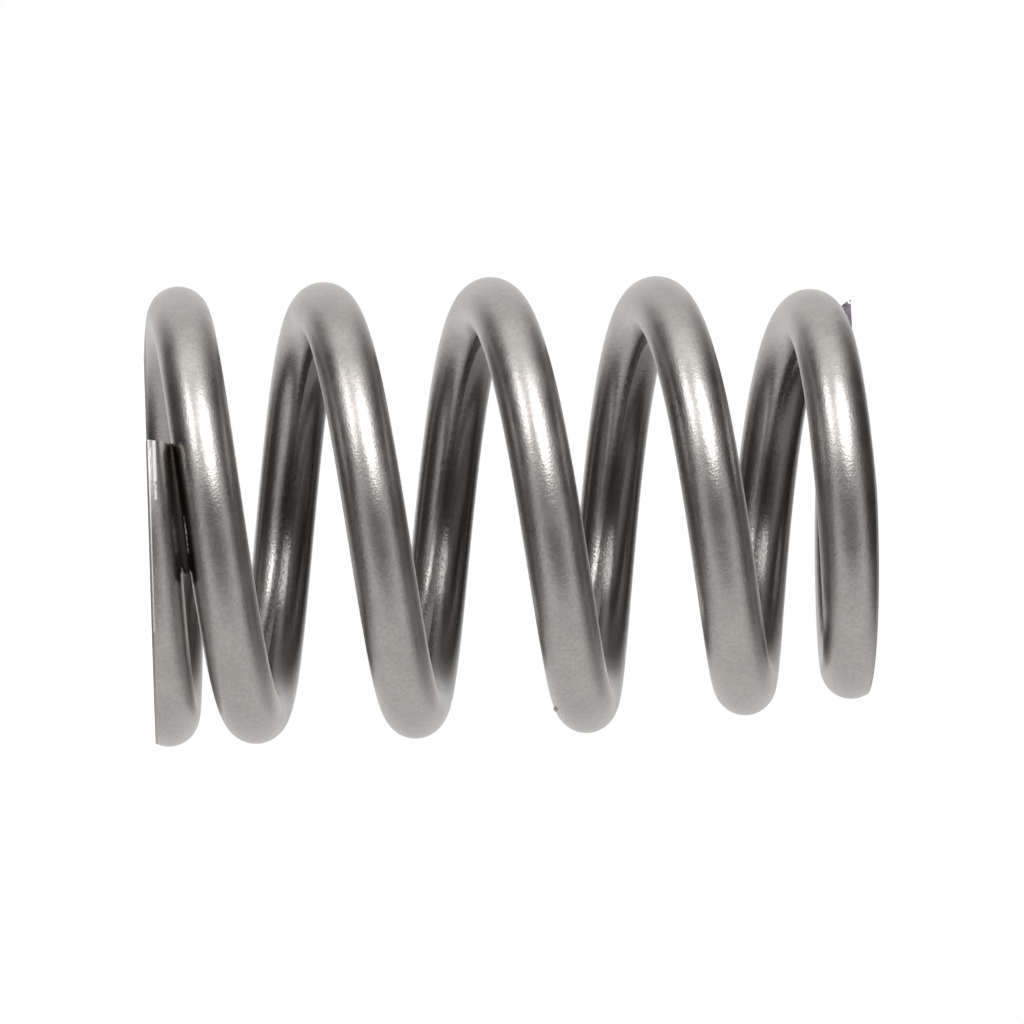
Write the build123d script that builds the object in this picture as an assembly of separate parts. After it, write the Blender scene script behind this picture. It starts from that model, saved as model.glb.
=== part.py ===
from build123d import *
import os
from math import cos, pi, radians, sin

# Engine valve spring of the beehive pattern: one length of round spring wire, coiled right-handed.
# The lower coils share one diameter and the upper ones narrow smoothly towards the valve retainer.
# At each end the last coil closes onto its neighbour and is ground flat, square to the axis.
# Origin: on the axis, in the plane of the lower ground face. +Z runs up the axis to the narrow end.
# Sizes are millimetres, angles are degrees, and a turn is counted along the wire from its lower tip.

# The wire and the envelope that it is coiled to
WIRE_DIAMETER = 4.0
BASE_OUTER_DIAMETER = 30.5
TOP_OUTER_DIAMETER = 27.1
FREE_LENGTH = 47.4
TOTAL_TURNS = 5.77
# Where the lower tip stands about the axis, counter-clockwise from +X as seen from above
LOWER_TIP_ANGLE = -109.0

# The narrowing: turns up from the lower tip where it starts, and down from the upper tip where it ends
TAPER_START_TURNS = 3.3
TAPER_END_TURNS = 0.45

# The coils open after the seat coil and close again before the retainer coil.
# Both stretches are counted in turns from the nearer tip.
OPENING_START_TURNS = 0.6
OPENING_END_TURNS = 1.15
CLOSING_START_TURNS = 1.1
CLOSING_END_TURNS = 0.85
# How much more the middle coils rise per turn than the open coils beside them, where that is most,
# and how far it reaches to each side
MIDDLE_EXTRA_PITCH = 1.1
MIDDLE_PLACE_TURNS = 2.8
MIDDLE_REACH_TURNS = 1.25

# What grinding leaves of the wire at each cut tip, and the clearance to the coil that the tip closes onto
LOWER_TIP_THICKNESS = 1.6
UPPER_TIP_THICKNESS = 1.2
TIP_CLEARANCE = 0.1
# How much of each ground face's outer and inner rim is broken away, at 45 degrees
RIM_BREAK = 0.15
# The lower tip is set down towards the seat by this much, over this stretch of the wire
LOWER_TIP_DIP = 1.0
LOWER_TIP_DIP_TURNS = 0.6

# Points that the wire's centre line passes through in each turn
POINTS_PER_TURN = 16


def eased(turn, start, end):
    """Smooth step from 0 to 1 between two places along the wire."""
    x = min(max((turn - start) / (end - start), 0.0), 1.0)
    return x * x * (3.0 - 2.0 * x)


def eased_area(turn, start, end):
    """What the smooth step adds up to, from the lower tip to this turn."""
    x = min(max((turn - start) / (end - start), 0.0), 1.0)
    return (end - start) * (x**3 - x**4 / 2.0) + max(turn - end, 0.0)


def opened(turn):
    """Turns that were coiled with the seat coil already left behind."""
    return eased_area(turn, OPENING_START_TURNS, OPENING_END_TURNS)


def closed(turn):
    """Turns that were coiled with the retainer coil already reached."""
    return eased_area(turn, TOTAL_TURNS - CLOSING_START_TURNS, TOTAL_TURNS - CLOSING_END_TURNS)


def middle_rise(turn):
    """Extra height gained from the wider pitch of the middle coils."""
    centre = MIDDLE_PLACE_TURNS
    swell = eased_area(turn, centre - MIDDLE_REACH_TURNS, centre)
    fade = eased_area(turn, centre, centre + MIDDLE_REACH_TURNS)
    return MIDDLE_EXTRA_PITCH * (swell - fade)


def tip_dip(turn):
    """How far the lower tip is set down below the even run of the seat coil."""
    left = max(1.0 - turn / LOWER_TIP_DIP_TURNS, 0.0)
    return LOWER_TIP_DIP * left**2


def above_tip(turn):
    """Height that the middle pitch and the set-down tip add between the lower tip and this turn."""
    return middle_rise(turn) + tip_dip(0.0) - tip_dip(turn)


def coil_pitches():
    """Rise per turn of the seat coil, the open coils and the retainer coil.

    Each end coil closes onto its neighbour with the tip clearance between them,
    and all of them together reach from one ground face to the other.
    """
    reach = WIRE_DIAMETER + TIP_CLEARANCE
    rise = FREE_LENGTH + WIRE_DIAMETER - LOWER_TIP_THICKNESS - UPPER_TIP_THICKNESS
    last = TOTAL_TURNS - 1.0
    seat_need = reach - above_tip(1.0)
    seat_share = 1.0 - opened(1.0)
    top_need = reach - (above_tip(TOTAL_TURNS) - above_tip(last))
    top_share = closed(TOTAL_TURNS) - closed(last)
    top_open = 1.0 - top_share
    seat_turns = TOTAL_TURNS - opened(TOTAL_TURNS)
    open_turns = opened(TOTAL_TURNS) - closed(TOTAL_TURNS)
    top_turns = closed(TOTAL_TURNS)
    known = seat_need * seat_turns / seat_share + top_need * top_turns / top_share
    free_turns = open_turns - opened(1.0) * seat_turns / seat_share - top_open * top_turns / top_share
    open_pitch = (rise - above_tip(TOTAL_TURNS) - known) / free_turns
    seat_pitch = (seat_need - open_pitch * opened(1.0)) / seat_share
    top_pitch = (top_need - open_pitch * top_open) / top_share
    return seat_pitch, open_pitch, top_pitch


SEAT_PITCH, OPEN_PITCH, TOP_PITCH = coil_pitches()


def height(turn):
    """Height of the wire's centre line above the lower ground face."""
    seat = SEAT_PITCH * (turn - opened(turn))
    middle = OPEN_PITCH * (opened(turn) - closed(turn)) + above_tip(turn)
    top = TOP_PITCH * closed(turn)
    return LOWER_TIP_THICKNESS - WIRE_DIAMETER / 2.0 + seat + middle + top


def radius(turn):
    """Distance of the wire's centre line from the spring's axis."""
    narrowed = eased(turn, TAPER_START_TURNS, TOTAL_TURNS - TAPER_END_TURNS)
    outer = BASE_OUTER_DIAMETER + (TOP_OUTER_DIAMETER - BASE_OUTER_DIAMETER) * narrowed
    return (outer - WIRE_DIAMETER) / 2.0


def centre_point(turn):
    """Point of the wire's centre line, this many turns from its lower tip."""
    angle = radians(LOWER_TIP_ANGLE) + 2.0 * pi * turn
    return Vector(radius(turn) * cos(angle), radius(turn) * sin(angle), height(turn))


def coiled_wire():
    """The round wire as it leaves the coiling machine, before its ends are ground."""
    steps = round(TOTAL_TURNS * POINTS_PER_TURN)
    centre_line = Spline([centre_point(TOTAL_TURNS * step / steps) for step in range(steps + 1)])
    start = Plane(origin=centre_line @ 0, z_dir=centre_line % 0)
    section = start * Circle(WIRE_DIAMETER / 2.0)
    return sweep(section, path=centre_line, is_frenet=True)


def face_rims(outer_diameter):
    """Inner and outer radius of the flat that is left on an end coil once its rims are broken."""
    outer = outer_diameter / 2.0
    return outer - WIRE_DIAMETER + RIM_BREAK, outer - RIM_BREAK


def ground_ends(wire):
    """The same wire with both ends ground flat to the free length, and the rims of the flats broken."""
    seat_inner, seat_outer = face_rims(BASE_OUTER_DIAMETER)
    top_inner, top_outer = face_rims(TOP_OUTER_DIAMETER)
    slope = WIRE_DIAMETER
    corners = [
        (seat_inner, 0.0),
        (seat_outer, 0.0),
        (seat_outer + slope, slope),
        (top_outer + slope, FREE_LENGTH - slope),
        (top_outer, FREE_LENGTH),
        (top_inner, FREE_LENGTH),
        (top_inner - slope, FREE_LENGTH - slope),
        (seat_inner - slope, slope),
    ]
    profile = make_face(Plane.XZ * Polyline(*corners, close=True))
    return wire & revolve(profile, Axis.Z)


os.makedirs("parts", exist_ok=True)
valve_spring = ground_ends(coiled_wire())
export_step(valve_spring, "parts/valve_spring.step")
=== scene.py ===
from math import cos, pi, radians, sin, tan

import bmesh
import bpy
from bpy.props import FloatProperty, FloatVectorProperty, PointerProperty
from bpy.types import Operator, Panel, PropertyGroup
from mathutils import Matrix, Vector


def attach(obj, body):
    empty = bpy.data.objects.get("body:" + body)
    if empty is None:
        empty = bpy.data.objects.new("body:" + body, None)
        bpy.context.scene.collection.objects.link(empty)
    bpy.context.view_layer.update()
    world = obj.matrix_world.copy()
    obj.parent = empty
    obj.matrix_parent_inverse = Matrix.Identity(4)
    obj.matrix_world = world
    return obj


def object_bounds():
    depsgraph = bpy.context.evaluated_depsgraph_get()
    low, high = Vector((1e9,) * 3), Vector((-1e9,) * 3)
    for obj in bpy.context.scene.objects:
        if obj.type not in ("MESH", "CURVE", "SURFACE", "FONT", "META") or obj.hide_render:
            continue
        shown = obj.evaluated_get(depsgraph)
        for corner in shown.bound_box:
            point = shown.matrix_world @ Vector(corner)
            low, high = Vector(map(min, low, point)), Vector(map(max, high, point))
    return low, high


bl_info = {
    "name": "Engine Valve Spring",
    "version": (1, 0, 0),
    "blender": (4, 5, 0),
    "location": "3D View > Sidebar > Valve Spring",
    "description": "Finishes a beehive valve spring in shot-peened steel and sets up its studio",
    "category": "Object",
}

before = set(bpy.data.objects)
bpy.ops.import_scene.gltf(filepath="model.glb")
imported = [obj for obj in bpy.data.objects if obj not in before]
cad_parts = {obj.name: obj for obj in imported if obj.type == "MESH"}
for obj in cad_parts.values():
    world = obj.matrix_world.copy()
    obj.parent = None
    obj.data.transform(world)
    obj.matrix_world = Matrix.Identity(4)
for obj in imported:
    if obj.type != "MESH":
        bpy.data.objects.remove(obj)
cad_box = [list(corner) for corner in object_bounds()]

MM = 0.001
SPRING_NODE = "valve_spring"
SPRING_BODY = "root"
TOP_FACE = cad_box[1][2]
WHITE = (1.0, 1.0, 1.0, 1.0)
# Settings of the nodes that fade a mask in, and of those that blend two numbers or two colours
SMOOTH = {"interpolation_type": "SMOOTHSTEP"}
NUMBERS = {"data_type": "FLOAT"}
COLOURS = {"data_type": "RGBA"}
# The range in which nearly all of a noise texture's values fall, and how fine its ragged and softer kinds go
NOISE_RANGE = {"From Min": 0.3, "From Max": 0.7}
RAGGED_NOISE = {"Detail": 4.0, "Roughness": 0.6}
SOFTER_NOISE = {"Detail": 3.0, "Roughness": 0.55}

# The wire's centre line: its distance from the axis below and above the narrowing, and the heights where the
# narrowing starts and ends
SEAT_COIL_RADIUS = 13.25 * MM
TOP_COIL_RADIUS = 11.55 * MM
NARROWING_START = 24.0 * MM
NARROWING_END = 44.0 * MM
WIRE_RADIUS = 2.0 * MM
# Middle of each cut tip of the wire, and the way its cut face looks
LOWER_TIP = Vector((-4.31, -12.53, -0.4)) * MM
LOWER_TIP_FACING = Vector((-0.945, 0.325, -0.05))
UPPER_TIP = Vector((-11.31, 2.36, 48.2)) * MM
UPPER_TIP_FACING = Vector((-0.191, -0.98, 0.053))

# Where each mask on the wire is gone and full. The ground ends: the distance from the end plane
GROUND_GONE = 0.18 * MM
GROUND_FULL = 0.15 * MM
# A cut tip: the cosine of the angle between a face and the cut face, and the distance from its middle
CUT_TURN_GONE = 0.90
CUT_TURN_FULL = 0.96
CUT_REACH_GONE = 1.25 * WIRE_RADIUS
CUT_REACH_FULL = 1.15 * WIRE_RADIUS
# The inner side of the wire: how far inside the centre line
INNER_GONE = -0.3 * WIRE_RADIUS
INNER_FULL = 0.7 * WIRE_RADIUS
# The painted shade on the upper flank inside the coils: the height above the seat, and the upright part of
# the normal
DEEP_GONE = 1.3 * MM
DEEP_FULL = 2.4 * MM
UPPER_FLANK_GONE = -0.45
UPPER_FLANK_FULL = -0.10
# The front of the spring: the place towards the camera's side
FRONT_GONE = -2.0 * MM
FRONT_FULL = -3.0 * MM
# The cleft's stain and painted shade: the distance from its line
CLEFT_GONE = 0.62 * MM
CLEFT_FULL = 0.25 * MM
# A bright mark, wear and painted highlight alike: the distance from its line as a share of its half-width,
# and the grain's span about the level
MARK_GONE = 1.6
MARK_FULL = 0.4
MARK_GRAIN_SPAN = 0.07

# Side of the square picture, and the place in it where the camera's line of sight falls
PICTURE_PIXELS = 1024
SIGHT_PIXEL_X = 505.18
SIGHT_PIXEL_Y = 506.17


def front_point(x, z):
    """Point seen square on from the front, from its two distances in millimetres."""
    return Vector((x, 0.0, z)) * MM


# The cleft where the seat coil closes onto its neighbour, dark with oily dirt and painted shade, seen square
# on from the front
CLEFT_START = front_point(-4.25, 1.92)
CLEFT_END = front_point(4.0, 2.67)
# Marks painted bright, seen square on from the front, wear and painted light among them: where each starts
# and ends, its half-width, and the level of the grain above which it shows, so that 0 leaves it whole
RUBBED_AND_GLINT_MARKS = (
    # coil contact: painted light where the gap at the contact would show the light beyond; seat rim
    # highlight: a painted highlight along the rim; seat edge strips and top coil edge: bright strips painted
    # on; the scuffs and the scratch below the burr: wear
    ("coil contact", front_point(0.0, 2.33), front_point(2.4, 2.52), 0.05 * MM, 0.50),
    ("seat edge by the tip", front_point(-4.85, 0.53), front_point(-2.4, 0.53), 0.10 * MM, 0.25),
    ("seat edge past the tip", front_point(-2.4, 0.53), front_point(-1.2, 0.54), 0.07 * MM, 0.44),
    ("seat rim highlight", front_point(-3.9, 0.17), front_point(7.4, 0.16), 0.045 * MM, 0.0),
    ("first scuff", front_point(-3.93, 5.74), front_point(-3.80, 5.78), 0.06 * MM, 0.0),
    ("second scuff", front_point(-2.40, 5.94), front_point(-2.28, 5.97), 0.06 * MM, 0.0),
    ("scratch below the burr", front_point(13.8, 26.65), front_point(14.6, 27.25), 0.04 * MM, 0.5),
    ("top coil edge", front_point(-12.4, 46.2), front_point(-11.2, 46.95), 0.12 * MM, 0.0),
)
# The painted highlight on the upper cut tip, where it is in space
TIP_HIGHLIGHT_START = Vector((-12.98, 2.63, 47.24)) * MM
TIP_HIGHLIGHT_END = Vector((-12.88, 2.62, 47.32)) * MM
TIP_HIGHLIGHT_HALF_WIDTH = 0.07 * MM


def linear(hex_code):
    """Linear colour of an sRGB hex value such as "B7B3AF"."""
    channels = [int(hex_code[start:start + 2], 16) / 255.0 for start in (0, 2, 4)]
    return [c / 12.92 if c <= 0.04045 else ((c + 0.055) / 1.055) ** 2.4 for c in channels]


def add_node(tree, kind, settings=None, inputs=None):
    """Add a node with its settings, and set each input, by its name or number among those shown, to a value,
    or link it to a socket or to another node's first output."""
    node = tree.nodes.new(kind)
    for name, value in (settings or {}).items():
        setattr(node, name, value)
    shown = [socket for socket in node.inputs if socket.enabled]
    for key, value in (inputs or {}).items():
        socket = shown[key] if isinstance(key, int) else next(s for s in shown if s.name == key)
        if isinstance(value, bpy.types.Node):
            value = next(output for output in value.outputs if output.enabled)
        if isinstance(value, bpy.types.NodeSocket):
            tree.links.new(value, socket)
        else:
            socket.default_value = value
    return node


def near_line(tree, place, start, end, gone, full):
    """Mask that is 1 up to one distance from a straight line between two points, and 0 from another on."""
    along = (end - start).normalized()
    reach = add_node(tree, "ShaderNodeVectorMath", {"operation": "SUBTRACT"}, {0: place, 1: tuple(start)})
    run = add_node(tree, "ShaderNodeVectorMath", {"operation": "DOT_PRODUCT"}, {0: reach, 1: tuple(along)})
    held = add_node(tree, "ShaderNodeClamp", {}, {"Value": run, "Min": 0.0, "Max": (end - start).length})
    foot = add_node(tree, "ShaderNodeVectorMath", {"operation": "SCALE"}, {0: tuple(along), "Scale": held})
    away = add_node(tree, "ShaderNodeVectorMath", {"operation": "DISTANCE"}, {0: reach, 1: foot})
    return add_node(tree, "ShaderNodeMapRange", SMOOTH, {"Value": away, "From Min": gone, "From Max": full})


def new_material(name):
    """An empty node material, and its node tree."""
    material = bpy.data.materials.new(name)
    material.use_nodes = True
    material.node_tree.nodes.clear()
    return material, material.node_tree


def new_piece(name, mesh_maker, material):
    """Put a bmesh in the scene as an object of one material that stays at the origin."""
    mesh = bpy.data.meshes.new(name)
    mesh_maker.to_mesh(mesh)
    mesh_maker.free()
    mesh.materials.append(material)
    piece = bpy.data.objects.new(name, mesh)
    bpy.context.scene.collection.objects.link(piece)
    return piece


class WireFinish(PropertyGroup):
    steel_colour: FloatVectorProperty(
        name="Steel", description="Colour of the bare spring steel", subtype="COLOR", size=3,
        min=0.0, max=1.0, default=linear("B8B4B0"))
    peen_size: FloatProperty(
        name="Peening dents", description="Width of one dent left by the shot", subtype="DISTANCE",
        unit="LENGTH", min=0.05 * MM, max=1.0 * MM, default=0.16 * MM)
    peen_depth: FloatProperty(
        name="Dent depth", description="Depth of one dent left by the shot", subtype="DISTANCE",
        unit="LENGTH", min=0.0, max=0.1 * MM, default=0.008 * MM)
    roughness: FloatProperty(
        name="Roughness", description="Roughness of the peened skin", subtype="FACTOR",
        min=0.0, max=1.0, default=0.32)
    # Painted shade: how much of its brightness the upper flank keeps inside the coils
    upper_flank_painted_shade: FloatProperty(
        name="Inner shade", description="Share of its brightness that the upper flank keeps inside the coils",
        subtype="FACTOR", min=0.0, max=1.0, default=0.33)
    inner_roughness: FloatProperty(
        name="Inner roughness", description="Roughness inside the coils, where less shot strikes",
        subtype="FACTOR", min=0.0, max=1.0, default=0.23)
    ground_roughness: FloatProperty(
        name="Ground ends", description="Roughness of the ground end faces", subtype="FACTOR",
        min=0.0, max=1.0, default=0.42)
    # Partly the sheared faces' own tone, partly painted shade on the cut faces
    sheared_and_shaded_colour: FloatVectorProperty(
        name="Cut tips", description="Colour of the sheared faces at the wire's tips", subtype="COLOR",
        size=3, min=0.0, max=1.0, default=linear("706870"))
    # Oily dirt and painted shade in the cleft; also the colour of the dark fill there
    stain_and_shade_colour: FloatVectorProperty(
        name="Cleft stain", description="Colour of the oily dirt where the seat coil closes", subtype="COLOR",
        size=3, min=0.0, max=1.0, default=linear("3A332B"))
    # Also the colour of the painted highlights and the painted light at the coil contact, and of the torn
    # burr
    pale_steel_and_glint_colour: FloatVectorProperty(
        name="Rubbed marks", description="Colour where the steel is rubbed bright or torn open",
        subtype="COLOR", size=3, min=0.0, max=1.0, default=linear("F4F2EF"))


class BurrShape(PropertyGroup):
    length: FloatProperty(
        name="Burr length", description="Length of the burr along the wire", subtype="DISTANCE",
        unit="LENGTH", min=0.1 * MM, max=2.0 * MM, default=0.62 * MM)
    width: FloatProperty(
        name="Burr width", description="Width of the burr across the wire", subtype="DISTANCE",
        unit="LENGTH", min=0.05 * MM, max=2.0 * MM, default=0.40 * MM)
    stand: FloatProperty(
        name="Burr height", description="How far the burr stands out of the wire", subtype="DISTANCE",
        unit="LENGTH", min=0.02 * MM, max=1.0 * MM, default=0.16 * MM)


class StudioSetup(PropertyGroup):
    floor_radius: FloatProperty(
        name="Floor", description="Radius of the pale floor", subtype="DISTANCE", unit="LENGTH",
        min=0.1, max=5.0, default=0.9)
    floor_colour: FloatVectorProperty(
        name="Floor colour", description="Colour of the matt floor", subtype="COLOR", size=3,
        min=0.0, max=1.0, default=linear("E4E3E0"))
    box_distance: FloatProperty(
        name="Soft boxes", description="Distance of the soft boxes from the spring", subtype="DISTANCE",
        unit="LENGTH", min=0.3, max=5.0, default=0.7)


class CameraPlace(PropertyGroup):
    distance: FloatProperty(
        name="Distance", description="Distance from the spring's middle", subtype="DISTANCE",
        unit="LENGTH", min=0.1, max=5.0, default=0.51)
    turn: FloatProperty(
        name="Turn", description="How far the line of sight rises above the spring's level",
        subtype="ANGLE", unit="ROTATION", default=radians(2.5615))
    roll: FloatProperty(
        name="Roll", description="Turn about the line of sight from lying on the side",
        subtype="ANGLE", unit="ROTATION", default=radians(-1.8005))
    pixels_per_mm: FloatProperty(
        name="Pixels per millimetre", description="Picture scale at the spring's axis",
        min=1.0, max=100.0, default=15.0415)


def ground_ends(tree, height):
    """Mask of the ground end faces and their broken rims."""
    low = add_node(tree, "ShaderNodeMapRange", SMOOTH, {
        "Value": height, "From Min": GROUND_GONE, "From Max": GROUND_FULL})
    high = add_node(tree, "ShaderNodeMapRange", SMOOTH, {
        "Value": height, "From Min": TOP_FACE - GROUND_GONE, "From Max": TOP_FACE - GROUND_FULL})
    return add_node(tree, "ShaderNodeMath", {"operation": "MAXIMUM"}, {0: low, 1: high})


def cut_tip(tree, place, normal, tip, facing):
    """Mask of the face where one end of the wire was sheared off."""
    turned = add_node(tree, "ShaderNodeVectorMath", {"operation": "DOT_PRODUCT"}, {
        0: normal, 1: tuple(facing.normalized())})
    flat = add_node(tree, "ShaderNodeMapRange", SMOOTH, {
        "Value": turned, "From Min": CUT_TURN_GONE, "From Max": CUT_TURN_FULL})
    away = add_node(tree, "ShaderNodeVectorMath", {"operation": "DISTANCE"}, {0: place, 1: tuple(tip)})
    near = add_node(tree, "ShaderNodeMapRange", SMOOTH, {
        "Value": away, "From Min": CUT_REACH_GONE, "From Max": CUT_REACH_FULL})
    return add_node(tree, "ShaderNodeMath", {"operation": "MULTIPLY"}, {0: flat, 1: near})


def inner_side(tree, axes):
    """Mask of the half of the wire that looks at the spring's axis."""
    level = add_node(tree, "ShaderNodeCombineXYZ", {}, {"X": axes.outputs["X"], "Y": axes.outputs["Y"]})
    radius = add_node(tree, "ShaderNodeVectorMath", {"operation": "LENGTH"}, {0: level})
    narrowed = add_node(tree, "ShaderNodeMapRange", SMOOTH, {
        "Value": axes.outputs["Z"], "From Min": NARROWING_START, "From Max": NARROWING_END})
    centre_line = add_node(tree, "ShaderNodeMix", NUMBERS, {
        "Factor": narrowed, "A": SEAT_COIL_RADIUS, "B": TOP_COIL_RADIUS})
    inward = add_node(tree, "ShaderNodeMath", {"operation": "SUBTRACT"}, {
        0: centre_line, 1: radius.outputs["Value"]})
    return add_node(tree, "ShaderNodeMapRange", SMOOTH, {
        "Value": inward, "From Min": INNER_GONE, "From Max": INNER_FULL})


def bright_line_mask(tree, place, start, end, half_width):
    """Mask of a soft-edged bright line, for worn steel and for painted highlights."""
    return near_line(tree, place, start, end, MARK_GONE * half_width, MARK_FULL * half_width)


def front_marks(tree, place, axes, grain, inner):
    """Two masks: the cleft beside the lower tip, with its stain and painted shade, and the bright marks, some
    of them wear and some painted highlights.
    """
    square_on = add_node(tree, "ShaderNodeVectorMath", {"operation": "MULTIPLY"}, {
        0: place, 1: (1.0, 0.0, 1.0)})
    front = add_node(tree, "ShaderNodeMapRange", SMOOTH, {
        "Value": axes.outputs["Y"], "From Min": FRONT_GONE, "From Max": FRONT_FULL})
    cleft = near_line(tree, square_on, CLEFT_START, CLEFT_END, CLEFT_GONE, CLEFT_FULL)
    stained_and_shaded = add_node(tree, "ShaderNodeMath", {"operation": "MULTIPLY"}, {0: cleft, 1: front})
    outer = add_node(tree, "ShaderNodeMath", {"operation": "SUBTRACT"}, {0: 1.0, 1: inner})
    outer_front = add_node(tree, "ShaderNodeMath", {"operation": "MULTIPLY"}, {0: outer, 1: front})
    rubbed_and_glint = bright_line_mask(tree, place, TIP_HIGHLIGHT_START, TIP_HIGHLIGHT_END, TIP_HIGHLIGHT_HALF_WIDTH)
    rubbed_and_glint.label = "upper cut tip"
    for name, start, end, half_width, shown_above in RUBBED_AND_GLINT_MARKS:
        mark = bright_line_mask(tree, square_on, start, end, half_width)
        mark.label = name
        ragged = add_node(tree, "ShaderNodeMapRange", SMOOTH, {
            "Value": grain, "From Min": shown_above - MARK_GRAIN_SPAN,
            "From Max": shown_above + MARK_GRAIN_SPAN})
        left = add_node(tree, "ShaderNodeMath", {"operation": "MULTIPLY"}, {0: mark, 1: ragged})
        seen = add_node(tree, "ShaderNodeMath", {"operation": "MULTIPLY"}, {0: left, 1: outer_front})
        rubbed_and_glint = add_node(tree, "ShaderNodeMath", {"operation": "MAXIMUM"}, {0: rubbed_and_glint, 1: seen})
    return stained_and_shaded, rubbed_and_glint


# Painted shade: the share of its brightness that the steel keeps on the lower flank inside the coils
LOWER_FLANK_PAINTED_SHADE = 0.85


def painted_shade_inside(tree, axes, normal, upper_flank_painted_shade):
    """Painted shade inside the coils: the share of its brightness that the steel keeps there, little on the
    upper flank.
    """
    deep = add_node(tree, "ShaderNodeMapRange", SMOOTH, {
        "Value": axes.outputs["Z"], "From Min": DEEP_GONE, "From Max": DEEP_FULL})
    slope = add_node(tree, "ShaderNodeSeparateXYZ", {}, {"Vector": normal})
    upper_flank = add_node(tree, "ShaderNodeMapRange", SMOOTH, {
        "Value": slope.outputs["Z"], "From Min": UPPER_FLANK_GONE, "From Max": UPPER_FLANK_FULL})
    dark = add_node(tree, "ShaderNodeMath", {"operation": "MULTIPLY"}, {0: deep, 1: upper_flank})
    return add_node(tree, "ShaderNodeMix", NUMBERS, {
        "Factor": dark, "A": LOWER_FLANK_PAINTED_SHADE, "B": upper_flank_painted_shade})


# Sizes of the patterns in the steel: one grain of the peened skin is this many dents wide
GRAIN_DENTS = 1.6
DENT_SMOOTHNESS = 0.5
BLOTCH_SIZE = 3.0 * MM
TEAR_SIZE = 0.4 * MM
# The wheel's lines are really a few hundredths of a millimetre apart, and are drawn coarser to show
GRINDING_LINE_SIZE = 0.16 * MM
GRINDING_STRETCH = (0.03, 1.0, 1.0)
GRINDING_DETAIL = 2.0
# Share of its brightness that each pattern leaves the steel, at its darkest and at its brightest
BLOTCH_TONE = {"To Min": 0.90, "To Max": 1.06}
GRAIN_TONE = {"To Min": 0.88, "To Max": 1.10}
GRINDING_TONE = {"To Min": 0.85, "To Max": 1.20}
SHEARED_TONE = {"To Min": 0.40, "To Max": 1.30}
# How far the blotches change the roughness, and the roughness where the steel is sheared, torn or rubbed
BLOTCH_ROUGHNESS = 0.05
COARSE_ROUGHNESS = 0.5
# Scratches too fine to draw scatter the light where the steel is worn bright or ground, and the painted
# highlights are given the same look, so it is never dark there: the ground faces' share of that, and how
# metallic the steel looks where the share is whole
GROUND_SCRATCHES = 0.6
GLINT_AND_SCRATCH_METALLIC = 0.3


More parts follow.
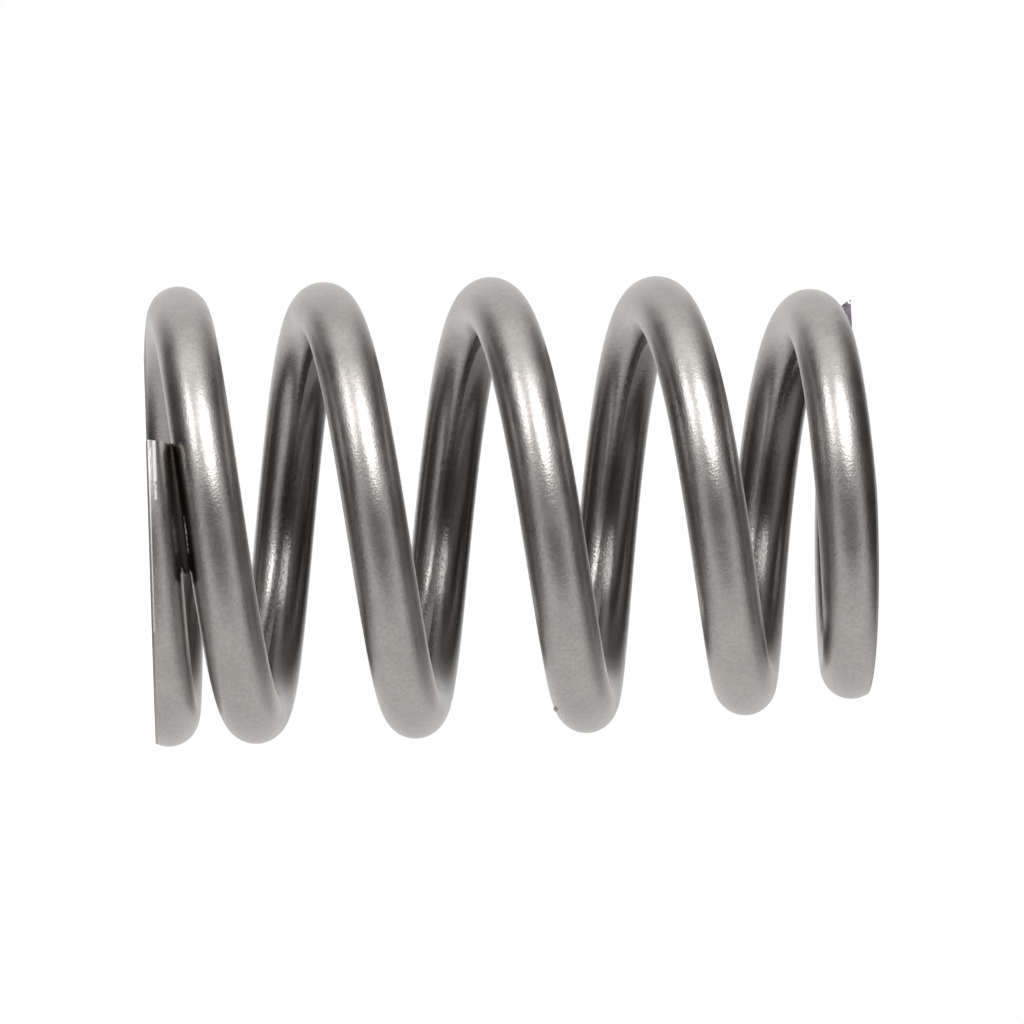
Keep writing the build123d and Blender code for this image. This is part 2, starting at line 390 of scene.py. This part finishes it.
def peened_spring_steel(settings):
    """Shot-peened chrome-silicon spring steel, ground at its ends.

    The shot leaves the drawn wire satin grey, with small dents that glint where light falls on them. The
    colour also holds painted shade inside the coils, on the cut tips and in the cleft, and painted highlights
    and painted light in some of the bright marks.
    """
    material, tree = new_material("shot_peened_spring_steel")
    coordinates = add_node(tree, "ShaderNodeTexCoord")
    place = coordinates.outputs["Object"]
    normal = coordinates.outputs["Normal"]
    axes = add_node(tree, "ShaderNodeSeparateXYZ", {}, {"Vector": place})

    dents = add_node(tree, "ShaderNodeTexVoronoi", {"feature": "SMOOTH_F1"}, {
        "Vector": place, "Scale": 1.0 / settings.peen_size, "Smoothness": DENT_SMOOTHNESS})
    grain = add_node(tree, "ShaderNodeTexNoise", {}, RAGGED_NOISE | {
        "Vector": place, "Scale": 1.0 / (GRAIN_DENTS * settings.peen_size)})
    blotches = add_node(tree, "ShaderNodeTexNoise", {}, SOFTER_NOISE | {
        "Vector": place, "Scale": 1.0 / BLOTCH_SIZE})
    tears = add_node(tree, "ShaderNodeTexNoise", {}, RAGGED_NOISE | {
        "Vector": place, "Scale": 1.0 / TEAR_SIZE})
    stretched = add_node(tree, "ShaderNodeVectorMath", {"operation": "MULTIPLY"}, {
        0: place, 1: GRINDING_STRETCH})
    lines = add_node(tree, "ShaderNodeTexNoise", {}, {
        "Vector": stretched, "Scale": 1.0 / GRINDING_LINE_SIZE, "Detail": GRINDING_DETAIL})

    ground = ground_ends(tree, axes.outputs["Z"])
    lower_tip = cut_tip(tree, place, normal, LOWER_TIP, LOWER_TIP_FACING)
    upper_tip = cut_tip(tree, place, normal, UPPER_TIP, UPPER_TIP_FACING)
    sheared = add_node(tree, "ShaderNodeMath", {"operation": "MAXIMUM"}, {0: lower_tip, 1: upper_tip})
    inner = inner_side(tree, axes)
    cleft, rubbed_and_glint = front_marks(tree, place, axes, grain, inner)

    blotch_tone = add_node(tree, "ShaderNodeMapRange", {}, NOISE_RANGE | BLOTCH_TONE | {"Value": blotches})
    grain_tone = add_node(tree, "ShaderNodeMapRange", {}, NOISE_RANGE | GRAIN_TONE | {"Value": grain})
    # Painted shade on the inner side of the wire
    side_painted_shade = add_node(tree, "ShaderNodeMix", NUMBERS, {
        "Factor": inner, "A": 1.0, "B": painted_shade_inside(tree, axes, normal, settings.upper_flank_painted_shade)})
    peened_tone = add_node(tree, "ShaderNodeMath", {"operation": "MULTIPLY"}, {0: blotch_tone, 1: grain_tone})
    skin_tone = add_node(tree, "ShaderNodeMath", {"operation": "MULTIPLY"}, {0: peened_tone, 1: side_painted_shade})
    ground_tone = add_node(tree, "ShaderNodeMapRange", {}, NOISE_RANGE | GRINDING_TONE | {"Value": lines})
    tone = add_node(tree, "ShaderNodeMix", NUMBERS, {"Factor": ground, "A": skin_tone, "B": ground_tone})
    steel = add_node(tree, "ShaderNodeVectorMath", {"operation": "SCALE"}, {
        0: tuple(settings.steel_colour), "Scale": tone})
    # The cut faces: mottled sheared steel, darkened further as painted shade
    torn_tone = add_node(tree, "ShaderNodeMapRange", {}, NOISE_RANGE | SHEARED_TONE | {"Value": tears})
    torn = add_node(tree, "ShaderNodeVectorMath", {"operation": "SCALE"}, {
        0: tuple(settings.sheared_and_shaded_colour), "Scale": torn_tone})
    cut = add_node(tree, "ShaderNodeMix", COLOURS, {"Factor": sheared, "A": steel, "B": torn})
    # Painted shade and oily stain in the cleft
    stained_and_shaded = add_node(tree, "ShaderNodeMix", COLOURS, {
        "Factor": cleft, "A": cut, "B": (*settings.stain_and_shade_colour, 1.0)})
    # Painted highlights and worn bright marks
    colour = add_node(tree, "ShaderNodeMix", COLOURS, {
        "Factor": rubbed_and_glint, "A": stained_and_shaded, "B": (*settings.pale_steel_and_glint_colour, 1.0)})

    worn = add_node(tree, "ShaderNodeMapRange", {}, NOISE_RANGE | {
        "Value": blotches, "To Min": settings.roughness - BLOTCH_ROUGHNESS,
        "To Max": settings.roughness + BLOTCH_ROUGHNESS})
    skin = add_node(tree, "ShaderNodeMix", NUMBERS, {
        "Factor": inner, "A": worn, "B": settings.inner_roughness})
    flat = add_node(tree, "ShaderNodeMix", NUMBERS, {
        "Factor": ground, "A": skin, "B": settings.ground_roughness})
    coarse = add_node(tree, "ShaderNodeMath", {"operation": "MAXIMUM"}, {0: sheared, 1: rubbed_and_glint})
    roughness = add_node(tree, "ShaderNodeMix", NUMBERS, {"Factor": coarse, "A": flat, "B": COARSE_ROUGHNESS})
    scratched = add_node(tree, "ShaderNodeMath", {"operation": "MULTIPLY"}, {0: ground, 1: GROUND_SCRATCHES})
    scattering_and_glint = add_node(tree, "ShaderNodeMath", {"operation": "MAXIMUM"}, {0: rubbed_and_glint, 1: scratched})
    metallic = add_node(tree, "ShaderNodeMix", NUMBERS, {
        "Factor": scattering_and_glint, "A": 1.0, "B": GLINT_AND_SCRATCH_METALLIC})

    peened = add_node(tree, "ShaderNodeMath", {"operation": "ADD"}, {0: dents, 1: grain})
    relief = add_node(tree, "ShaderNodeMix", NUMBERS, {"Factor": ground, "A": peened, "B": lines})
    bump = add_node(tree, "ShaderNodeBump", {}, {"Height": relief, "Distance": settings.peen_depth})
    shader = add_node(tree, "ShaderNodeBsdfPrincipled", {}, {
        "Metallic": metallic, "Base Color": colour, "Roughness": roughness, "Normal": bump})
    add_node(tree, "ShaderNodeOutputMaterial", {}, {"Surface": shader})
    return material


# The torn steel of the burr: the size of its tears, how fine they go, their tone, and how metallic it looks
BURR_TEAR_SIZE = 0.1 * MM
BURR_TEAR_DETAIL = 3.0
BURR_TONE = {"To Min": 0.85, "To Max": 1.05}
BURR_METALLIC = 0.1


def torn_steel(settings):
    """Spring steel torn open, without the peened skin, so that it is paler and dull from all sides."""
    material, tree = new_material("torn_spring_steel")
    place = add_node(tree, "ShaderNodeTexCoord").outputs["Object"]
    tears = add_node(tree, "ShaderNodeTexNoise", {}, {
        "Vector": place, "Scale": 1.0 / BURR_TEAR_SIZE, "Detail": BURR_TEAR_DETAIL})
    depth = add_node(tree, "ShaderNodeMapRange", {}, NOISE_RANGE | BURR_TONE | {"Value": tears})
    colour = add_node(tree, "ShaderNodeVectorMath", {"operation": "SCALE"}, {
        0: tuple(settings.pale_steel_and_glint_colour), "Scale": depth})
    shader = add_node(tree, "ShaderNodeBsdfPrincipled", {}, {
        "Metallic": BURR_METALLIC, "Base Color": colour, "Roughness": COARSE_ROUGHNESS})
    add_node(tree, "ShaderNodeOutputMaterial", {}, {"Surface": shader})
    return material


# The lumps of the oily dirt and painted shade in the cleft: their size and height, and their tone and
# roughness from the hollows to the crests
LUMP_SIZE = 0.3 * MM
LUMP_HEIGHT = 0.05 * MM
LUMP_TONE = {"To Min": 0.25, "To Max": 0.6}
LUMP_ROUGHNESS = {"To Min": 0.45, "To Max": 0.75}


def oily_dirt_and_shade(settings):
    """Engine oil and dust baked dark brown and hard, dull with a faint sheen where it is still wet; its
    darkness in the cleft is also painted shade.
    """
    material, tree = new_material("oily_dirt_and_shade")
    place = add_node(tree, "ShaderNodeTexCoord").outputs["Object"]
    lumps = add_node(tree, "ShaderNodeTexNoise", {}, RAGGED_NOISE | {
        "Vector": place, "Scale": 1.0 / LUMP_SIZE})
    depth = add_node(tree, "ShaderNodeMapRange", {}, NOISE_RANGE | LUMP_TONE | {"Value": lumps})
    colour = add_node(tree, "ShaderNodeVectorMath", {"operation": "SCALE"}, {
        0: tuple(settings.stain_and_shade_colour), "Scale": depth})
    roughness = add_node(tree, "ShaderNodeMapRange", {}, NOISE_RANGE | LUMP_ROUGHNESS | {"Value": lumps})
    bump = add_node(tree, "ShaderNodeBump", {}, {"Height": lumps, "Distance": LUMP_HEIGHT})
    shader = add_node(tree, "ShaderNodeBsdfPrincipled", {}, {
        "Base Color": colour, "Roughness": roughness, "Normal": bump})
    add_node(tree, "ShaderNodeOutputMaterial", {}, {"Surface": shader})
    return material


class VALVESPRING_OT_finish_wire(Operator):
    """Give the coiled wire its shot-peened steel skin and its ground ends"""

    bl_idname = "valvespring.finish_wire"
    bl_label = "Finish Wire"

    def execute(self, context):
        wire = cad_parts[SPRING_NODE]
        wire.material_slots[0].material = peened_spring_steel(context.scene.wire_finish)
        return {"FINISHED"}


# Where the burr sits on the outer skin of a middle coil, the way out of the wire there, and the wire's run
BURR_PLACE = Vector((13.42, -4.97, 26.40)) * MM
BURR_OUTWARD = Vector((0.52, -0.09, -0.85))
WIRE_RUN = Vector((0.335, 0.942, 0.13))
# The burr before it gets its size: a cone with its top cut off, half in the wire, whose crest leans over
BURR_SIDES = 14
BURR_FOOT_RADIUS = 0.5
BURR_CREST_RADIUS = 0.3
BURR_LEAN = (0.10, 0.06, 0.0)
BURR_ROUNDING = 0.14
BURR_ROUNDING_STEPS = 3


class VALVESPRING_OT_add_burr(Operator):
    """Add the small burr, a lip of metal that leans over on a middle coil"""

    bl_idname = "valvespring.add_burr"
    bl_label = "Add Burr"

    def execute(self, context):
        shape = context.scene.burr_shape
        outward = BURR_OUTWARD.normalized()
        across = outward.cross(WIRE_RUN).normalized()
        along = across.cross(outward)
        turn = Matrix((along, across, outward)).transposed().to_4x4()
        size = Matrix.Diagonal((shape.length, shape.width, 2.0 * shape.stand, 1.0))
        lip = bmesh.new()
        bmesh.ops.create_cone(
            lip, cap_ends=True, segments=BURR_SIDES, radius1=BURR_FOOT_RADIUS, radius2=BURR_CREST_RADIUS,
            depth=1.0)
        crest = [corner for corner in lip.verts if corner.co.z > 0.0]
        bmesh.ops.translate(lip, verts=crest, vec=BURR_LEAN)
        bmesh.ops.bevel(
            lip, geom=lip.edges[:], offset=BURR_ROUNDING, affect="EDGES", segments=BURR_ROUNDING_STEPS,
            profile=0.5, material=-1)
        bmesh.ops.transform(lip, verts=lip.verts[:], matrix=Matrix.Translation(BURR_PLACE) @ turn @ size)
        for face in lip.faces:
            face.smooth = True
        burr = new_piece("burr", lip, torn_steel(context.scene.wire_finish))
        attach(burr, SPRING_BODY)
        return {"FINISHED"}


# The dark fill in the cleft, oily dirt and painted shade: where it starts and ends round the spring, its
# height at the start and how far it rises, and the sides and the radius of each of its rings, which bite into
# both coils
DIRT_AND_SHADE_START = radians(-110.5)
DIRT_AND_SHADE_END = radians(-74.0)
DIRT_AND_SHADE_HEIGHT = 1.62 * MM
DIRT_AND_SHADE_RISE = 0.74 * MM
DIRT_AND_SHADE_SIDES = 12
DIRT_AND_SHADE_RADII_MM = (0.26, 0.34, 0.38, 0.34, 0.40, 0.37, 0.42, 0.40, 0.44, 0.41, 0.42, 0.33, 0.18)


class VALVESPRING_OT_add_cleft_dirt_and_shade(Operator):
    """Add the dark fill of oily dirt and painted shade in the cleft between the seat coil and its neighbour
    """

    bl_idname = "valvespring.add_grime"
    bl_label = "Add Cleft Dirt and Shade"

    def execute(self, context):
        steps = len(DIRT_AND_SHADE_RADII_MM) - 1
        first_place = Matrix.Translation((SEAT_COIL_RADIUS, 0.0, DIRT_AND_SHADE_HEIGHT))
        start = Matrix.Rotation(DIRT_AND_SHADE_START, 4, "Z") @ first_place
        upright = Matrix.Rotation(pi / 2.0, 4, "X")
        fill_mesh = bmesh.new()
        bmesh.ops.create_circle(
            fill_mesh, cap_ends=True, radius=DIRT_AND_SHADE_RADII_MM[0] * MM, segments=DIRT_AND_SHADE_SIDES, matrix=start @ upright)
        tip = fill_mesh.faces[:]
        for before, radius in zip(DIRT_AND_SHADE_RADII_MM, DIRT_AND_SHADE_RADII_MM[1:]):
            tip = bmesh.ops.spin(
                fill_mesh, geom=tip, cent=(0.0, 0.0, 0.0), axis=(0.0, 0.0, 1.0),
                dvec=(0.0, 0.0, DIRT_AND_SHADE_RISE / steps), angle=(DIRT_AND_SHADE_END - DIRT_AND_SHADE_START) / steps,
                steps=1)["geom_last"]
            ring = [part for part in tip if isinstance(part, bmesh.types.BMVert)]
            middle = sum((corner.co for corner in ring), Vector()) / len(ring)
            bmesh.ops.scale(
                fill_mesh, verts=ring, vec=Vector((1.0, 1.0, 1.0)) * radius / before,
                space=Matrix.Translation(-middle))
        bmesh.ops.recalc_face_normals(fill_mesh, faces=fill_mesh.faces[:])
        for face in fill_mesh.faces:
            face.smooth = True
        dirty_shaded_fill = new_piece("cleft_dirt_and_shade", fill_mesh, oily_dirt_and_shade(context.scene.wire_finish))
        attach(dirty_shaded_fill, SPRING_BODY)
        return {"FINISHED"}


def toward(right, up):
    """Direction from the spring, by its angles to the picture's right and top from the camera's side."""
    return Vector((-sin(up), -cos(up) * cos(right), cos(up) * sin(right)))


# Share of the white backdrop that shows in the metal, which mostly mirrors the grey studio
MIRRORED_BACKDROP = 0.02
# What the matt paper shows the camera on top of the light on it, so that it is white without a shadow
PAPER_GLOW = 0.75
FLOOR_SIDES = 96
# Brightness of the boards beside the spring, above it and below it, of the room behind the camera and of the
# flags
BOARD_LEVEL = 0.98
TOP_LEVEL = 0.82
LOW_LEVEL = 0.78
ROOM_LEVEL = 0.15
FLAG_LEVEL = 0.03
# What the wall beyond the soft boxes adds to the brightness there
GLOW_LEVEL = 0.3
# Each soft box: its direction from the spring, half the angles that it fills up and across, its brightness
SOFT_BOXES = (
    ("key_box", toward(radians(16.0), radians(39.0)), radians(22.0), radians(17.0), 3.8),
    ("side_box", toward(radians(-45.0), radians(40.0)), radians(17.0), radians(8.0), 3.4),
)
# Each part of the studio: the way it lies from the spring, and the angles at which it is gone and full
STUDIO_PARTS = {
    "above": (Vector((-1.0, 0.0, 0.0)), radians(80.0), radians(30.0)),
    "below": (Vector((1.0, 0.0, 0.0)), radians(95.0), radians(40.0)),
    "room": (toward(0.0, radians(-3.0)), radians(57.0), radians(5.0)),
    "left flag": (toward(radians(-96.0), radians(8.0)), radians(57.0), radians(26.0)),
    "right flag": (toward(radians(100.0), radians(10.0)), radians(62.0), radians(22.0)),
    "wall": (toward(radians(-20.0), radians(54.0)), radians(55.0), radians(25.0)),
}


def backdrop_weight(tree):
    """How far a ray shows the white backdrop: fully to the camera, a little in the metal."""
    path = add_node(tree, "ShaderNodeLightPath")
    mirrored = add_node(tree, "ShaderNodeMath", {"operation": "ADD"}, {
        0: path.outputs["Is Glossy Ray"], 1: path.outputs["Is Transmission Ray"]})
    return add_node(tree, "ShaderNodeMath", {"operation": "MULTIPLY_ADD", "use_clamp": True}, {
        0: mirrored, 1: MIRRORED_BACKDROP, 2: path.outputs["Is Camera Ray"]})


def matt_paper(settings):
    """Matt paper floor, pale and even, white to the camera where no shadow falls on it."""
    material, tree = new_material("matt_paper")
    paper = add_node(tree, "ShaderNodeBsdfDiffuse", {}, {"Color": (*settings.floor_colour, 1.0)})
    glow = add_node(tree, "ShaderNodeMath", {"operation": "MULTIPLY"}, {
        0: backdrop_weight(tree), 1: PAPER_GLOW})
    lift = add_node(tree, "ShaderNodeEmission", {}, {"Color": WHITE, "Strength": glow})
    both = add_node(tree, "ShaderNodeAddShader", {}, {0: paper, 1: lift})
    add_node(tree, "ShaderNodeOutputMaterial", {}, {"Surface": both})
    return material


def studio_world():
    """Soft white boards around the spring, a dim room towards the camera and a dark flag at each side."""
    world = bpy.data.worlds.new("soft_studio")
    world.use_nodes = True
    tree = world.node_tree
    tree.nodes.clear()
    direction = add_node(tree, "ShaderNodeTexCoord").outputs["Generated"]
    shown = {}
    for name, (centre, gone, full) in STUDIO_PARTS.items():
        near = add_node(tree, "ShaderNodeVectorMath", {"operation": "DOT_PRODUCT"}, {
            0: direction, 1: tuple(centre)})
        shown[name] = add_node(tree, "ShaderNodeMapRange", SMOOTH, {
            "Value": near, "From Min": cos(gone), "From Max": cos(full)})
    flags = add_node(tree, "ShaderNodeMath", {"operation": "MAXIMUM"}, {
        0: shown["left flag"], 1: shown["right flag"]})
    level = BOARD_LEVEL
    for mask, brightness in (
            (shown["above"], TOP_LEVEL), (shown["below"], LOW_LEVEL), (shown["room"], ROOM_LEVEL),
            (flags, FLAG_LEVEL)):
        level = add_node(tree, "ShaderNodeMix", NUMBERS, {"Factor": mask, "A": level, "B": brightness})
    lit = add_node(tree, "ShaderNodeMath", {"operation": "MULTIPLY_ADD"}, {
        0: shown["wall"], 1: GLOW_LEVEL, 2: level})
    studio = add_node(tree, "ShaderNodeBackground", {}, {"Color": WHITE, "Strength": lit})
    backdrop = add_node(tree, "ShaderNodeBackground", {}, {"Color": WHITE, "Strength": 1.0})
    seen = add_node(tree, "ShaderNodeMixShader", {}, {"Fac": backdrop_weight(tree), 1: studio, 2: backdrop})
    add_node(tree, "ShaderNodeOutputWorld", {}, {"Surface": seen})
    return world


class VALVESPRING_OT_add_stage(Operator):
    """Add the pale floor, the grey studio around it and the soft boxes"""

    bl_idname = "valvespring.add_stage"
    bl_label = "Add Stage"

    def execute(self, context):
        setup = context.scene.studio_setup
        disc = bmesh.new()
        bmesh.ops.create_circle(disc, cap_ends=True, radius=setup.floor_radius, segments=FLOOR_SIDES)
        floor = new_piece("pale_floor", disc, matt_paper(setup))
        floor.visible_glossy = False
        floor.visible_shadow = False
        context.scene.world = studio_world()

        middle = Vector((0.0, 0.0, TOP_FACE / 2.0))
        for name, direction, half_up, half_across, level in SOFT_BOXES:
            box = bpy.data.lights.new(name, "AREA")
            box.shape = "ELLIPSE"
            box.size = 2.0 * setup.box_distance * tan(half_up)
            box.size_y = 2.0 * setup.box_distance * tan(half_across)
            # A lamp of this power looks as bright as a surface of that level
            box.energy = level * pi * pi * box.size * box.size_y / 4.0
            lamp = bpy.data.objects.new(name, box)
            lamp.visible_camera = False
            turn = direction.to_track_quat("Z", "Y").to_matrix().to_4x4()
            lamp.matrix_world = Matrix.Translation(middle + direction * setup.box_distance) @ turn
            context.scene.collection.objects.link(lamp)
        return {"FINISHED"}


# Width of the camera's sensor, in millimetres
SENSOR_WIDTH = 36.0


class VALVESPRING_OT_add_camera(Operator):
    """Add the camera that sees the spring lying on its side"""

    bl_idname = "valvespring.add_camera"
    bl_label = "Add Camera"

    def execute(self, context):
        place = context.scene.camera_place
        frame_width = PICTURE_PIXELS / place.pixels_per_mm * MM
        lens = bpy.data.cameras.new("camera")
        lens.sensor_width = SENSOR_WIDTH
        lens.lens = lens.sensor_width * place.distance / frame_width
        lens.shift_x = (PICTURE_PIXELS / 2.0 - SIGHT_PIXEL_X) / PICTURE_PIXELS
        lens.shift_y = (SIGHT_PIXEL_Y - PICTURE_PIXELS / 2.0) / PICTURE_PIXELS
        camera = bpy.data.objects.new("camera", lens)
        aim = Matrix.Translation((0.0, 0.0, TOP_FACE / 2.0))
        level = Matrix.Rotation(pi / 2.0 + place.turn, 4, "X")
        roll = Matrix.Rotation(pi / 2.0 + place.roll, 4, "Z")
        camera.matrix_world = aim @ level @ roll @ Matrix.Translation((0.0, 0.0, place.distance))
        context.scene.collection.objects.link(camera)
        context.scene.camera = camera
        context.scene.view_settings.view_transform = "Standard"
        return {"FINISHED"}


class VALVESPRING_PT_panel(Panel):
    bl_idname = "VALVESPRING_PT_panel"
    bl_label = "Valve Spring"
    bl_space_type = "VIEW_3D"
    bl_region_type = "UI"
    bl_category = "Valve Spring"

    def draw(self, context):
        layout = self.layout
        for group in SETTINGS:
            owner = getattr(context.scene, group)
            for name in owner.bl_rna.properties.keys():
                if name not in ("rna_type", "name"):
                    layout.prop(owner, name)
        for operator in OPERATORS:
            layout.operator(operator.bl_idname)


SETTINGS = {
    "wire_finish": WireFinish,
    "burr_shape": BurrShape,
    "studio_setup": StudioSetup,
    "camera_place": CameraPlace,
}
OPERATORS = (
    VALVESPRING_OT_finish_wire,
    VALVESPRING_OT_add_burr,
    VALVESPRING_OT_add_cleft_dirt_and_shade,
    VALVESPRING_OT_add_stage,
    VALVESPRING_OT_add_camera,
)


def register():
    for name, group in SETTINGS.items():
        bpy.utils.register_class(group)
        setattr(bpy.types.Scene, name, PointerProperty(type=group))
    for operator in OPERATORS:
        bpy.utils.register_class(operator)
    bpy.utils.register_class(VALVESPRING_PT_panel)


def unregister():
    bpy.utils.unregister_class(VALVESPRING_PT_panel)
    for operator in reversed(OPERATORS):
        bpy.utils.unregister_class(operator)
    for name, group in SETTINGS.items():
        delattr(bpy.types.Scene, name)
        bpy.utils.unregister_class(group)


def main():
    register()
    bpy.ops.valvespring.finish_wire()
    bpy.ops.valvespring.add_burr()
    bpy.ops.valvespring.add_grime()
    bpy.ops.valvespring.add_stage()
    bpy.ops.valvespring.add_camera()


if __name__ == "__main__":
    main()
